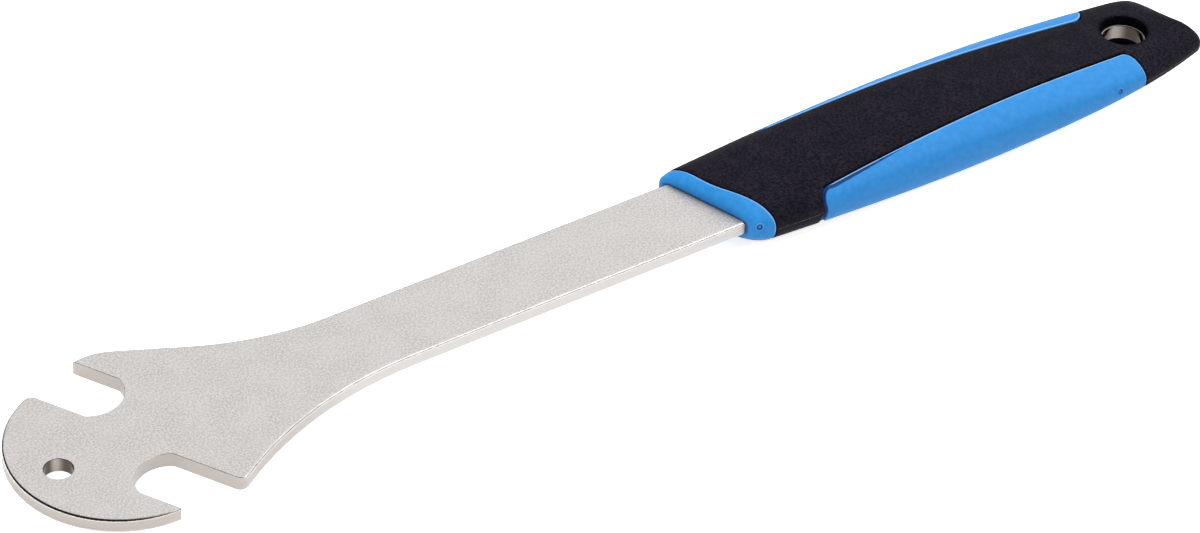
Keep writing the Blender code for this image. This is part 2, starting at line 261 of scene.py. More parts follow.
def isMilled(middle):
    # an edge that belongs to a jaw or to the small hole and not to the stamped outline
    half = blade["acrossFlats"] / 2 + blade["slack"]
    reach = half + blade["seatRelief"]
    jaws = ((blade["farSeat"], math.pi - blade["jawAngle"]), (blade["nearSeat"], -blade["jawAngle"]))
    for seat, way in jaws:
        offset = middle.xy - Vector(seat)
        ahead = offset.x * math.cos(way) + offset.y * math.sin(way)
        aside = abs(-offset.x * math.sin(way) + offset.y * math.cos(way))
        if aside < half and ahead > -reach:
            return offset.length < reach or ahead > 0
    return math.dist(middle.xy, blade["holeCentre"]) < blade["holeRadius"] + blade["slack"]


def edgeRadius(one, two, sides):
    # how far an edge of the plate is rounded, from its ends and the normals of its two faces
    middle, slack = (one + two) / 2, blade["slack"]
    if sides[0].angle(sides[1]) < blade["sharpest"]:
        return 0.0
    if abs(one.z - two.z) > slack:
        atTip = any(math.dist(middle.xy, tip) < slack for tip in blade["tips"])
        return blade["tipEdge"] if atTip else 0.0
    if math.dist(middle.xy, (blade["boreX"], 0.0)) < blade["boreRadius"] + slack:
        return blade["boreEdge"]
    for centre, start, turn in blade["corners"]:
        # the rounding grows little by little round a jaw's corner
        share = ((headingTo(centre, middle.xy) - start + math.pi) % (2 * math.pi) - math.pi) / turn
        if math.dist(middle.xy, centre) < blade["jawCorner"] + slack and 0 < share < 1:
            return blendOf(blade["jawEdge"], blade["edgeRound"], ease(share))
    return blade["jawEdge"] if isMilled(middle) else blade["edgeRound"]


def roundBladeEdges(piece):
    pick(piece)
    weights = piece.data.attributes.new("bevel_weight_edge", "FLOAT", "EDGE")
    sides = {}
    for face in piece.data.polygons:
        for key in face.edge_keys:
            sides.setdefault(key, []).append(face.normal)
    for edge in piece.data.edges:
        one, two = (piece.data.vertices[i].co for i in edge.vertices)
        weights.data[edge.index].value = edgeRadius(one, two, sides[edge.key]) / blade["edgeRound"]
    # there is no clamp on the width, as the short steps of the arcs would hold it down
    change(piece, "BEVEL", limit_method="WEIGHT", width=blade["edgeRound"], segments=blade["edgeSteps"],
           profile=blade["edgeProfile"], use_clamp_overlap=False)


def makeBlade():
    piece = drawOutline()
    bpy.ops.mesh.edge_face_add()
    bpy.ops.mesh.extrude_region_move(TRANSFORM_OT_translate={"value": (0, 0, -blade["thickness"])})
    faceOut()
    drillHole(piece, *blade["holeCentre"], blade["holeRadius"], blade["holeSides"])
    drillHole(piece, blade["boreX"], 0.0, blade["boreRadius"], blade["boreSides"])
    roundBladeEdges(piece)
    smooth(piece, blade["smoothAngle"])
    change(piece, "WEIGHTED_NORMAL", keep_sharp=True)
    return piece


steelBlade = makeBlade()
print("blade", len(steelBlade.data.polygons), "faces")


# Handle: every skin of it is wrapped on one oval form with slanted ends
handle = {
    "front": 164.1 * mm,
    "length": 144.6 * mm,
    "widest": 78 * mm,
    "thickest": 61 * mm,
    "noseSide": 1.4 * mm,
    "collarSide": 3.85 * mm,
    "swellSide": 5.95 * mm,
    "tailSide": -0.25 * mm,
    "tailTaper": 3.45,
    "farTailSide": 2.0 * mm,  # the far side keeps its width nearer to the tail than the near side
    "farTailTaper": 2.6,
    "noseCover": 0.9 * mm,
    "collarCover": 3.95 * mm,
    "swellCover": 7.1 * mm,
    "tailCover": 2.2 * mm,
    "frontCurve": 1.5,
    "tailCurve": 1.25,
    "frontSlant": math.tan(math.radians(19.2)),
    "tailSlant": math.tan(math.radians(14.2)),
    "slantFade": 36 * mm,
    "nose": 5 * mm,
    "noseCurve": 1.5,
    "tailRound": (2.9 * mm, 4.3 * mm),  # how long and how wide the near corner is rounded
    "farTailRound": (7.5 * mm, 0.7 * mm),
    "tailDrop": 3.4 * mm,
    "fullness": 2.5,  # 2 would be an ellipse, and more is squarer
    "noseFullness": 5.0,
    "chinFullness": 2.6,
    "wall": 1.8 * mm,
    "fit": 0.1 * mm,  # room between one skin and the next
    "coreReach": 120 * mm,
    "probe": (0.05 * mm, 0.002),  # steps along the skin and round it that give its normal
    "smoothAngle": 40,
}
repeats = {"slant": 4, "edge": 5, "reach": 8, "height": 24}  # passes until a place on the skin settles


def halfWidth(x, far):
    # far runs from 0 on the near side to 1 on the far side
    away = x - handle["front"] - handle["widest"]
    if away < 0:
        fall = handle["swellSide"] - handle["collarSide"]
        return halfShaft + handle["swellSide"] - fall * (away / handle["widest"]) ** 2
    share = away / (handle["length"] - handle["widest"])
    tail = blendOf(handle["tailSide"], handle["farTailSide"], far)
    taper = blendOf(handle["tailTaper"], handle["farTailTaper"], far)
    return halfShaft + handle["swellSide"] - (handle["swellSide"] - tail) * share ** taper


def halfHeight(x):
    away = x - handle["front"] - handle["thickest"]
    if away < 0:
        fall = handle["swellCover"] - handle["collarCover"]
        share = -away / handle["thickest"]
        return halfPlate + handle["swellCover"] - fall * share ** handle["frontCurve"]
    fall = handle["swellCover"] - handle["tailCover"]
    share = away / (handle["length"] - handle["thickest"])
    return halfPlate + handle["swellCover"] - fall * ease(share ** handle["tailCurve"])


def rounding(distance, length):
    share = max(0.0, 1 - max(distance, 0.0) / length)
    return math.sqrt(1 - share * share)


def slantAt(s):
    front = 1 - ease((s - handle["nose"]) / handle["slantFade"])
    tail = 1 - ease((handle["length"] - s - handle["nose"]) / handle["slantFade"])
    return handle["frontSlant"] * front + handle["tailSlant"] * tail


def oval(phi, power):
    c, s = math.cos(phi), math.sin(phi)
    reach = (abs(c) ** power + abs(s) ** power) ** (-1 / power)
    return c * reach, s * reach


def skin(s, phi, inset=0.0):
    # a point of the handle's form: s runs from the collar's front, phi from the far side over the top
    nose = rounding(s, handle["nose"])
    noseFullness = handle["noseFullness"] if math.sin(phi) > 0 else handle["chinFullness"]
    power = handle["fullness"] + (noseFullness - handle["fullness"]) * (1 - nose) ** handle["noseCurve"]
    across, up = oval(phi, power)
    far = ease(across + 0.5)
    rounds = zip(handle["tailRound"], handle["farTailRound"])
    roundLength, roundWidth = (blendOf(*pair, far) for pair in rounds)
    tail = 1 - rounding(handle["length"] - s, roundLength)
    slant = slantAt(s)
    side = halfShaft + handle["noseSide"]
    cover = halfPlate + handle["noseCover"]
    x = handle["front"] + s
    for _ in range(repeats["slant"]):
        y = (side + (halfWidth(x, far) - side) * nose - roundWidth * tail - inset) * across
        x = handle["front"] + s - slant * y
    z = (cover + (halfHeight(x) - cover) * nose - handle["tailDrop"] * tail - inset) * up
    return Vector((x, y, midZ + z))


def skinNormal(s, phi):
    step, turn = handle["probe"]
    low = min(max(s - step, 0.0), handle["length"] - 2 * step)
    alongSkin = skin(low + 2 * step, phi) - skin(low, phi)
    roundSkin = skin(s, phi + turn) - skin(s, phi - turn)
    return roundSkin.cross(alongSkin).normalized()


def sunk(s, phi, depth):
    point = skin(s, phi)
    return point - skinNormal(s, phi) * depth if depth else point


# Where black and blue meet: the collar's rear edge and the two side panels
seams = {
    "collarBand": 3.05 * mm,  # narrowest part of the collar behind its slanted front
    "collarNarrowY": 1.8 * mm,
    "collarFarExtra": 0.95 * mm,
    "collarFarSpread": 10 * mm,
    "collarNearExtra": 1.75 * mm,
    "collarNearSpread": 13.5 * mm,
    "gripRound": 0.45 * mm,  # the soft edge of the grip
    "panelRound": 0.4 * mm,  # the crisper edge of the hard plastic
    "gap": 0.2 * mm,
    "wellDepth": 1.95 * mm,
    "rimLine": 0.24 * mm,  # where the painted highlight on the edge of the hard plastic runs
    "rimHalf": 0.2 * mm,
    "collarLean": 0.95,  # from a length along the skin to one square to the collar's edge
    "widestPanel": 0.98,  # the most of the handle's half width at which an edge is sought
    "partingShares": (0.0, 0.012, 0.03),
    "evenShares": (0.08, 0.6),  # grid lines stand evenly here and crowd up to the edge after it
    "rimSteps": (30, 20),
    "rimCount": 600,
}
nearPanel = {
    "name": "nearPanel",
    "side": -1,
    "frontX": 188.2 * mm,
    "tailX": 288.35 * mm,
    "frontY": 13.05 * mm,
    "tailY": 7.35 * mm,
    "frontCorner": 2.2 * mm,
    "frontHalf": 7.5 * mm,  # half of the front line, from the parting line to a corner
    "tailCorner": 2.0 * mm,
    "tailHalf": 9.5 * mm,
    "frontWave": 0.45 * mm,
    "tailBow": 0.9 * mm,
    "groove": 1.0 * mm,
    "grooveDepth": 0.6 * mm,
    "grooveReach": 36 * mm,
    "grooveLeast": 0.02,  # a groove narrower than this share has ended
    "grooveFullness": 0.6,
    # how strongly the groove and the panel's outer rim are painted with shade
    "grooveShade": 1.3,
    "grooveShadeFrom": 0.15,
    "rimShade": 0.8,
    "rib": 0.34 * mm,
    "ribStart": 190.5 * mm,
    "ribRise": 2 * mm,
    "columns": 28,
    "rows": 150,
    "shellFit": 0.05 * mm,
}
farPanel = dict(nearPanel, name="farPanel", side=1,
                tailX=289.2 * mm, tailY=8.5 * mm, tailCorner=4.2 * mm)


def collarRear(phi):
    # how far behind the collar's front its rear edge runs
    y = (halfShaft + handle["collarSide"]) * oval(phi, handle["fullness"])[0]
    off = y - seams["collarNarrowY"]
    if off > 0:
        return seams["collarBand"] + seams["collarFarExtra"] * ease(off / seams["collarFarSpread"])
    return seams["collarBand"] + seams["collarNearExtra"] * ease(-off / seams["collarNearSpread"])


def edgeTurn(panel, s):
    # half the angle that the panel takes up round the section at s
    x = handle["front"] + s
    slant = slantAt(s)
    for _ in range(repeats["edge"]):
        share = (x - panel["frontX"]) / (panel["tailX"] - panel["frontX"])
        y = blendOf(panel["frontY"], panel["tailY"], min(max(share, 0.0), 1.0))
        x = handle["front"] + s - slant * y * panel["side"]
    across = min(y / halfWidth(x, max(panel["side"], 0)), seams["widestPanel"])
    up = (1 - across ** handle["fullness"]) ** (1 / handle["fullness"])
    return math.atan2(up, across)


def middleOf(panel):
    return 0.0 if panel["side"] > 0 else math.pi


def cornerPull(share, size, full):
    # how far a rounded corner draws an end line back, from the corner's start to the long edge
    start = 1 - size / full
    t = (abs(share) - start) / (1 - start)
    return size * (1 - math.sqrt(max(0.0, 1 - t * t))) if t > 0 else 0.0


def atX(x, phi):
    # the s at which the skin at phi has a given x
    s = x - handle["front"]
    for _ in range(repeats["reach"]):
        s += x - skin(s, phi).x
    return s


def panelEnds(panel, share, gap=0.0):
    # s of the panel's front and tail lines, at a share of the way from its middle to its long edge
    wave = panel["frontWave"] * (1 - math.cos(2 * math.pi * share)) / 2
    frontX = panel["frontX"] - wave + cornerPull(share, panel["frontCorner"], panel["frontHalf"]) + gap
    tailX = panel["tailX"] - panel["tailBow"] * abs(share) ** 3 - gap
    tailX -= cornerPull(share, panel["tailCorner"], panel["tailHalf"])
    phiFront = panelAngle(panel, atX(frontX, middleOf(panel)), share)
    phiTail = panelAngle(panel, atX(tailX, middleOf(panel)), share)
    return atX(frontX, phiFront), atX(tailX, phiTail)


def panelAngle(panel, s, share, gap=0.0):
    # share runs from -1 at the lower long edge to 1 at the upper one
    turn = edgeTurn(panel, s) - gap / halfHeight(handle["front"] + s)
    return middleOf(panel) + panel["side"] * share * turn


def fillet(distance, radius):
    # how deep a rounded edge lies at a distance from its rim
    if distance >= radius:
        return 0.0
    return radius - math.sqrt(radius * radius - (radius - distance) ** 2)


def panelShares(steps=11, middle=6):
    # shares across a panel, crowded at both long edges and beside the parting line at the middle
    evenFrom, evenTo = seams["evenShares"]
    half = [*seams["partingShares"], *(blendOf(evenFrom, evenTo, k / middle) for k in range(middle))]
    half += [evenTo + (1 - evenTo) * math.sin(quarter * k / steps) for k in range(steps + 1)]
    return [-value for value in reversed(half[1:])] + half


def panelRim(panel, gap=0.0):
    # points round the panel's whole edge: front line, upper edge, tail line and lower edge
    ends = [(share, *panelEnds(panel, share, gap)) for share in panelShares(*seams["rimSteps"])]
    low, high = ends[-1][1], ends[-1][2]
    run = [blendOf(low, high, k / seams["rimCount"]) for k in range(1, seams["rimCount"])]
    places = [(front, share) for share, front, _ in ends] + [(s, 1) for s in run]
    places += [(tail, share) for share, _, tail in reversed(ends)] + [(s, -1) for s in reversed(run)]
    return [skin(s, panelAngle(panel, s, share, gap)) for s, share in places]


class Rim:
    # a closed line of points that can say how far it is from a place
    def __init__(self, points):
        self.points = points
        self.tree = kdtree.KDTree(len(points))
        for number, point in enumerate(points):
            self.tree.insert(point, number)
        self.tree.balance()

    def distance(self, place):
        number = self.tree.find(place)[1]
        here = self.points[number]
        best = (place - here).length
        for other in (self.points[number - 1], self.points[(number + 1) % len(self.points)]):
            run = other - here
            if run.length_squared > 0:
                share = min(max((place - here).dot(run) / run.length_squared, 0.0), 1.0)
                best = min(best, (place - here - run * share).length)
        return best


def wrapGrid(name, rows, columns, place):
    # a flat grid whose corners, by row and column, are each moved to a place on the piece; the place may
    # come with a tone: up to 1 for a pale line (a painted highlight on the hard plastic, the parting line on
    # the grip), and down to -1 for painted shade in seams, grooves and holes
    deselect()
    bpy.ops.mesh.primitive_grid_add(x_subdivisions=columns, y_subdivisions=rows, size=2)
    piece = named(name)
    tones = piece.data.attributes.new("tone", "FLOAT", "POINT")
    for number, corner in enumerate(piece.data.vertices):
        row = round((corner.co.y + 1) / 2 * rows)
        column = round((corner.co.x + 1) / 2 * columns)
        spot = place(row, column)
        if isinstance(spot, tuple):
            spot, tones.data[number].value = spot
        corner.co = spot
    turnTo("EDIT")
    bpy.ops.mesh.select_all(action="SELECT")
    bpy.ops.mesh.remove_doubles(threshold=together)
    return piece


def closeEnds():
    # the open loops of the piece in hand are filled
    bpy.ops.mesh.select_all(action="DESELECT")
    bpy.ops.mesh.select_non_manifold()
    bpy.ops.mesh.edge_face_add()
    faceOut()


def rimHighlight(distance):
    # a painted highlight along a moulded edge, highest at the middle of its line
    off = (distance - seams["rimLine"]) / seams["rimHalf"]
    return max(0.0, 1 - off * off)


# Hard core: the collar, and the sleeve that runs on under the grip
core = {
    "columns": 128,
    "shownRows": 30,
    "sleeveRows": 14,
    "opening": 0.08 * mm,  # clearance round the blade
    "openingFullness": 9.0,
    "rimHighlightStrength": (0.75, 0.25),  # the painted highlight's strength on the collar's rear edge, and how much it grows towards the near side
}


def openingPoint(s, phi):
    across, up = oval(phi, core["openingFullness"])
    y = (halfShaft + core["opening"]) * across
    x = handle["front"] + s - (handle["frontSlant"] * y if s < handle["nose"] else 0.0)
    return Vector((x, y, midZ + (halfPlate + core["opening"]) * up))


def makeCore():
    # rings from the opening over the collar's skin, down its rear wall, along the sleeve and back inside
    hidden = [k / core["sleeveRows"] for k in range(core["sleeveRows"] + 1)]
    rows = [("opening", 0.0)] + [("shown", g) for g in crowded(core["shownRows"])] + [("wall", 1.0)]
    rows += [("sleeve", g) for g in hidden] + [("opening", 1.0), ("opening", 0.0)]

    def place(row, column):
        kind, g = rows[row]
        phi = 2 * math.pi * column / core["columns"]
        rear = collarRear(phi)
        # tones: painted shade in the opening round the blade, at the foot of the rear edge and on the rear
        # wall, and a painted highlight on the rear edge's rounding
        if kind == "opening":
            return openingPoint(g * handle["coreReach"], phi), -1.0
        if kind == "shown":
            s = rear * g
            distance = (rear - s) * seams["collarLean"]
            strength, growth = core["rimHighlightStrength"]
            tone = rimHighlight(distance) * (strength - growth * math.cos(phi)) if g < 1 else -1.0
            return sunk(s, phi, fillet(distance, seams["panelRound"])), tone
        if kind == "wall":
            return sunk(rear, phi, handle["wall"] - handle["fit"]), -1.0
        s = blendOf(rear, handle["coreReach"], g)
        return skin(s, phi, handle["wall"])

    piece = wrapGrid("handleCore", len(rows) - 1, core["columns"], place)
    faceOut()
    smooth(piece, handle["smoothAngle"])
    return piece


def grooveSink(panel, x, distance):
    # a groove runs inside the panel's rim: along its front, and behind a thin rib beside its long edges
    wide = panel["groove"] * (1 - ease((x - panel["frontX"]) / panel["grooveReach"]))
    rib = panel["rib"] * ease((x - panel["ribStart"]) / panel["ribRise"])
    if wide <= panel["groove"] * panel["grooveLeast"] or not 0 < (distance - rib) / wide < 1:
        return 0.0
    into = (distance - rib) / wide
    return min(panel["grooveDepth"], wide) * math.sin(math.pi * into) ** panel["grooveFullness"]


def panelTone(panel, x, distance):
    # painted shade in the groove and outside it along the front, and a painted highlight on the rim elsewhere
    dark = grooveSink(panel, x, distance) / panel["grooveDepth"]
    if x < panel["ribStart"] and distance < panel["groove"] / 2:
        return -1.0
    return -min(1.0, panel["grooveShade"] * dark) if dark > panel["grooveShadeFrom"] else rimHighlight(distance)


def makePanel(panel):
    gap = seams["gap"]
    rim = Rim(panelRim(panel, gap))
    shares = panelShares(panel["columns"])
    ends = [panelEnds(panel, share, gap) for share in shares]
    rows = crowded(panel["rows"])

    def place(row, column):
        share = shares[column]
        s = blendOf(*ends[column], rows[row])
        phi = panelAngle(panel, s, share, gap)
        point = skin(s, phi)
        atRim = abs(share) == 1 or row in (0, len(rows) - 1)
        distance = 0.0 if atRim else rim.distance(point)
        # painted shade on the panel's outer rim, in the gap beside the grip
        tone = -panel["rimShade"] if atRim else panelTone(panel, point.x, distance)
        depth = fillet(distance, seams["panelRound"]) + grooveSink(panel, point.x, distance)
        return sunk(s, phi, depth), tone

    piece = wrapGrid(panel["name"], len(rows) - 1, len(shares) - 1, place)
    turnTo("OBJECT")
    if sum(face.normal.y * face.area for face in piece.data.polygons) * panel["side"] < 0:
        piece.data.flip_normals()
    change(piece, "SOLIDIFY", thickness=handle["wall"] - panel["shellFit"], offset=-1)
    smooth(piece, handle["smoothAngle"])
    return piece


# Soft grip: the black skin with an opening for the collar and one for each panel
grip = {
    "topSteps": 56,
    "frontRows": 30,
    "middleRows": 140,
    "tailRows": 26,
    "roundRows": 12,
    "endRings": (0.85, 0.6, 0.3),
    "endReach": 4.2 * mm,
    "rearProbe": 4 * mm,  # where on the skin a column's angle is taken to find the collar's rear
    "partingRise": 0.14 * mm,
    "partingHalf": 0.02,  # half of the parting line's width, as a share of the side
    "partingShoulder": 0.35,
    "partingZone": (0.1, 0.9),  # it stops short of the collar, the panels and the tail's rounding
    "holeRadius": 5.6 * mm,
    "mouthRound": 1.5 * mm,
    "underRadius": 5.3 * mm,  # the hole is a little narrower below the steel
    "underRound": 0.5 * mm,
    # how dark the painted shade in the hanging hole is
    "mouthShade": 0.8,
    "mouthSink": 0.02 * mm,
    "mouthFlat": 0.6 * mm,
    "mouthLift": 0.1 * mm,
    "mouthOver": 5 * mm,
    "hollowRoom": 0.2 * mm,
    "hollowGrid": (16, 48),
    "tangRoom": 0.1 * mm,
    "tangReach": 20 * mm,
    "tangSteps": 12,
    "smoothAngle": 35,
}


def makeGrip():
    rims = [Rim(panelRim(nearPanel)), Rim(panelRim(farPanel))]
    top = crowded(grip["topSteps"])
    shares = panelShares()
    columns = [("top", f) for f in top[:-1]] + [("near", -q) for q in shares[:-1]]
    columns += [("bottom", f) for f in top[:-1]] + [("far", q) for q in shares]
    rows = [("cap", 0.0)] + [("front", g) for g in crowded(grip["frontRows"])]
    rows += [("middle", g) for g in crowded(grip["middleRows"])[1:]]
    rows += [("tail", g) for g in crowded(grip["tailRows"])[1:]]
    rows += [("round", k / grip["roundRows"]) for k in range(1, grip["roundRows"] + 1)]
    rows += [("end", g) for g in grip["endRings"]]

    def turnAt(kind, f, s):
        # the angle round the section of a column: kind is the strip it is in and f its share across that
        near, far = edgeTurn(nearPanel, s), edgeTurn(farPanel, s)
        if kind == "top":
            return blendOf(far, math.pi - near, f)
        if kind == "near":
            return math.pi - f * near
        if kind == "bottom":
            return blendOf(math.pi + near, 2 * math.pi - far, f)
        return 2 * math.pi + f * far

    nearEnds, farEnds = panelEnds(nearPanel, 1), panelEnds(farPanel, 1)
    stations = []
    for kind, f in columns:
        if kind in ("near", "far"):
            front, tail = panelEnds(nearPanel if kind == "near" else farPanel, f)
        else:
            g = f if kind == "top" else 1 - f
            front, tail = blendOf(farEnds[0], nearEnds[0], g), blendOf(farEnds[1], nearEnds[1], g)
        rear = collarRear(turnAt(kind, f, grip["rearProbe"]))
        stations.append((rear + seams["gap"], front, tail, handle["length"] - grip["endReach"]))

    def place(row, column):
        # zone is the stretch of the handle that a row is in and g its share along that
        zone, g = rows[row]
        kind, f = columns[column]
        rear, front, tail, end = stations[column]
        if zone == "cap":
            return sunk(rear, turnAt(kind, f, rear), seams["wellDepth"])
        if zone == "end":
            s = handle["length"]
            point = skin(s, turnAt(kind, f, s))
            middle = Vector((point.x + slantAt(s) * point.y, 0.0, midZ))
            return middle + (point - middle) * g
        if zone == "front":
            s = blendOf(rear, front, g)
        elif zone == "middle":
            s = blendOf(front, tail, g)
        elif zone == "tail":
            s = blendOf(tail, end, g)
        else:
            s = handle["length"] - grip["endReach"] * (1 - math.sin(quarter * g))
        phi = turnAt(kind, f, s)
        beside = kind in ("near", "far")
        parting = 1.0 if beside and f == 0 else 0.0
        point = skin(s, phi)
        if zone == "round":
            return point, parting
        if beside and zone == "middle" and 0 < g < 1 and abs(f) < 1:
            return sunk(s, phi, seams["wellDepth"])
        distance = min(rim.distance(point) for rim in rims)
        distance = min(distance, (s - rear) * seams["collarLean"])
        depth = fillet(distance, seams["gripRound"])
        low, high = grip["partingZone"]
        if beside and abs(f) < grip["partingHalf"] and zone != "middle" and low < g < high:
            depth -= grip["partingRise"] * (1 if f == 0 else grip["partingShoulder"])
        return sunk(s, phi, depth), parting

    piece = wrapGrid("softGrip", len(rows) - 1, len(columns) - 1, place)
    closeEnds()
    return piece


def hollowTool():
    # the room that the core and the tang take inside the grip
    rings, around = grip["hollowGrid"]
    reach = handle["coreReach"] + grip["hollowRoom"]

    def place(row, column):
        phi = 2 * math.pi * column / around
        return skin(reach * row / rings, phi, handle["wall"] - handle["fit"])

    tool = wrapGrid("hollow", rings, around, place)
    closeEnds()
    return tool


def tangTool():
    # the tang's own shape with a little room round it; the cube's upright edges at the tail are rounded
    deselect()
    start, end = handle["front"] - grip["tangReach"], blade["tangEnd"] + grip["tangRoom"]
    wide, tall = 2 * (halfShaft + grip["tangRoom"]), 2 * (halfPlate + grip["tangRoom"])
    bpy.ops.mesh.primitive_cube_add(size=1, location=((start + end) / 2, 0, midZ),
                                    scale=(end - start, wide, tall))
    tool = named("tangRoom")
    turnTo("EDIT")
    bpy.ops.mesh.select_all(action="DESELECT")
    turnTo("OBJECT")
    for edge in tool.data.edges:
        one, two = (tool.data.vertices[i].co for i in edge.vertices)
        edge.select = one.x > 0 and two.x > 0 and abs(one.z - two.z) > 0.5
    placeInMesh(tool)
    turnTo("EDIT")
    bpy.ops.mesh.select_mode(type="EDGE")
    bpy.ops.mesh.bevel(offset=blade["tangCorner"], segments=grip["tangSteps"])
    turnTo("OBJECT")
    return tool


def holeTool():
    # a turned cutter: straight through, with a mouth that rounds out into each face of the grip
    def mouth(radius, bend, steps=10):
        top = halfHeight(blade["boreX"]) + grip["mouthSink"]
        turns = [quarter * k / steps for k in range(steps + 1)]
        points = [(radius + bend - bend * math.cos(turn), top - bend + bend * math.sin(turn))
                  for turn in turns]
        wide = radius + bend + grip["mouthFlat"]
        return [(radius, 0.0)] + points + [(wide, top + grip["mouthLift"]), (wide, top + grip["mouthOver"])]

    under = mouth(grip["underRadius"], grip["underRound"])
    profile = [(r, -z) for r, z in reversed(under)] + mouth(grip["holeRadius"], grip["mouthRound"])
    around = blade["boreSides"]

    def place(row, column):
        r, z = profile[row]
        turn = 2 * math.pi * column / around
        return Vector((blade["boreX"] + r * math.cos(turn), r * math.sin(turn), midZ + z))

    tool = wrapGrid("hole", len(profile) - 1, around, place)
    closeEnds()
    return tool


def shadeBore(piece):
    # painted shade: the walls of the hanging hole are painted the darkest black, and it fades out over the
    # rounding above them
    tones = piece.data.attributes["tone"].data
    for number, corner in enumerate(piece.data.vertices):
        away = math.dist(corner.co.xy, (blade["boreX"], 0.0)) - grip["holeRadius"]
        if away < grip["mouthRound"]:
            tones[number].value = -grip["mouthShade"] * (1 - ease(away / grip["mouthRound"]))


# Round marks of the mould: a low ring round a shallow cup, set square on the near side
mark = {
    "profile": ((1.1, -0.7), (1.1, -0.08), (1.03, 0.09), (0.92, 0.14), (0.8, 0.07), (0.7, -0.22),
                (0.6, -0.34), (0.42, -0.34), (0.24, -0.14), (0.0, -0.08)),  # radius and height in mm
    "tones": (0, 0, 0.25, 0.35, 0, -0.45, -0.6, -0.5, 0.3, 0.6, 0, 0),  # painted highlight on the ring and the cup's middle, painted shade on the cup's wall and floor, as in wrapGrid
    # how strongly each mark's painted highlight and shade are laid on
    "collarTone": 1.0,
    "panelTone": 0.4,
    "around": 40,
    "cutRadius": 0.92 * mm,
    "cutDepth": 0.6 * mm,
    "onCollar": (170.2 * mm, -0.3 * mm),  # x and z on the near side
    "onPanel": (279.0 * mm, -1.0 * mm),
}


def nearSideTurn(x, z):
    # the angle round the section at which the near side stands at a given height
    low, high = math.pi, quarter
    for _ in range(repeats["height"]):
        phi = (low + high) / 2
        if skin(atX(x, phi), phi).z < z:
            low = phi
        else:
            high = phi
    return phi


def addMark(piece, spot, strength):
    x, z = spot
    phi = nearSideTurn(x, z)
    s = atX(x, phi)
    normal = skinNormal(s, phi)
    base = Matrix.Translation(skin(s, phi)) @ normal.to_track_quat("Z", "Y").to_matrix().to_4x4()
    deselect()
    bpy.ops.mesh.primitive_cylinder_add(vertices=mark["around"], radius=mark["cutRadius"],
                                        depth=2 * mark["cutDepth"])
    drill = named("markCut")
    drill.matrix_world = base
    placeInMesh(drill)
    cut(piece, drill)
    profile = mark["profile"] + ((0.0, mark["profile"][0][1]), mark["profile"][0])

    def place(row, column):
        radius, height = profile[row]
        turn = 2 * math.pi * column / mark["around"]
        spot = base @ Vector((radius * math.cos(turn) * mm, radius * math.sin(turn) * mm, height * mm))
        # the tone paints highlight and shade on the mark
        return spot, mark["tones"][row] * strength

    cup = wrapGrid("markCup", len(profile) - 1, mark["around"], place)
    faceOut()
    pick(piece)
    cup.select_set(True)
    bpy.ops.object.join()
    smooth(piece, handle["smoothAngle"])


handleCore = makeCore()
addMark(handleCore, mark["onCollar"], mark["collarTone"])
print("core", len(handleCore.data.polygons), "faces")
panels = [makePanel(nearPanel), makePanel(farPanel)]
addMark(panels[0], mark["onPanel"], mark["panelTone"])
print("panels", [len(piece.data.polygons) for piece in panels], "faces")
softGrip = makeGrip()
for makeTool in (hollowTool, tangTool, holeTool):
    cut(softGrip, makeTool())
shadeBore(softGrip)
smooth(softGrip, grip["smoothAngle"])
print("grip", len(softGrip.data.polygons), "faces")


# Finishes: each grows its grain from noise on object coordinates

def addNode(tree, kind, **settings):
    node = tree.nodes.new("ShaderNode" + kind)
    for name, value in settings.items():
        setattr(node, name, value)
    return node


def newFinish(name, colour, metallic, roughness):
    finish = bpy.data.materials.new(name)
    finish.use_nodes = True
    shader = finish.node_tree.nodes["Principled BSDF"]
    shader.inputs["Base Color"].default_value = (*colour, 1.0)
    shader.inputs["Metallic"].default_value = metallic
    shader.inputs["Roughness"].default_value = roughness
    return finish, finish.node_tree, shader


def grain(tree, size, detail):
    # noise whose grains are about as wide as size
    place = addNode(tree, "TexCoord")
    noise = addNode(tree, "TexNoise")
    noise.inputs["Scale"].default_value = 1 / size
    noise.inputs["Detail"].default_value = detail
    tree.links.new(place.outputs["Object"], noise.inputs["Vector"])
    return noise.outputs["Fac"]


def drawnOut(tree, source, low, high, fromLow=0.3, fromHigh=0.7):
    # from low to high as the source runs from one value to another; noise seldom leaves 0.3 to 0.7
    reach = addNode(tree, "MapRange", interpolation_type="SMOOTHSTEP")
    for name, value in (("From Min", fromLow), ("From Max", fromHigh), ("To Min", low), ("To Max", high)):
        reach.inputs[name].default_value = value
    tree.links.new(source, reach.inputs["Value"])
    return reach.outputs["Result"]


def mixed(tree, share, one, two):
    # a blend of two colours, each a fixed colour or another node's output
    blend = addNode(tree, "Mix", data_type="RGBA")
    tree.links.new(share, blend.inputs["Factor"])
    for socket, colour in (("A", one), ("B", two)):
        spot = [place for place in blend.inputs if place.name == socket and place.type == "RGBA"][0]
        if isinstance(colour, tuple):
            spot.default_value = (*colour, 1.0)
        else:
            tree.links.new(colour, spot)
    return [place for place in blend.outputs if place.type == "RGBA"][0]


def calculated(tree, operation, one, two):
    sums = addNode(tree, "Math", operation=operation)
    for spot, value in zip(sums.inputs, (one, two)):
        if isinstance(value, (int, float)):
            spot.default_value = value
        else:
            tree.links.new(value, spot)
    return sums.outputs["Value"]


def toned(tree):
    # how pale a spot is (painted highlight on the hard plastic, the parting line on the grip) and how much
    # painted shade it has, from the tone stored on its piece
    tone = addNode(tree, "Attribute", attribute_name="tone").outputs["Fac"]
    paleTone = calculated(tree, "MAXIMUM", tone, 0.0)
    return paleTone, calculated(tree, "MAXIMUM", calculated(tree, "MULTIPLY", tone, -1), 0.0)


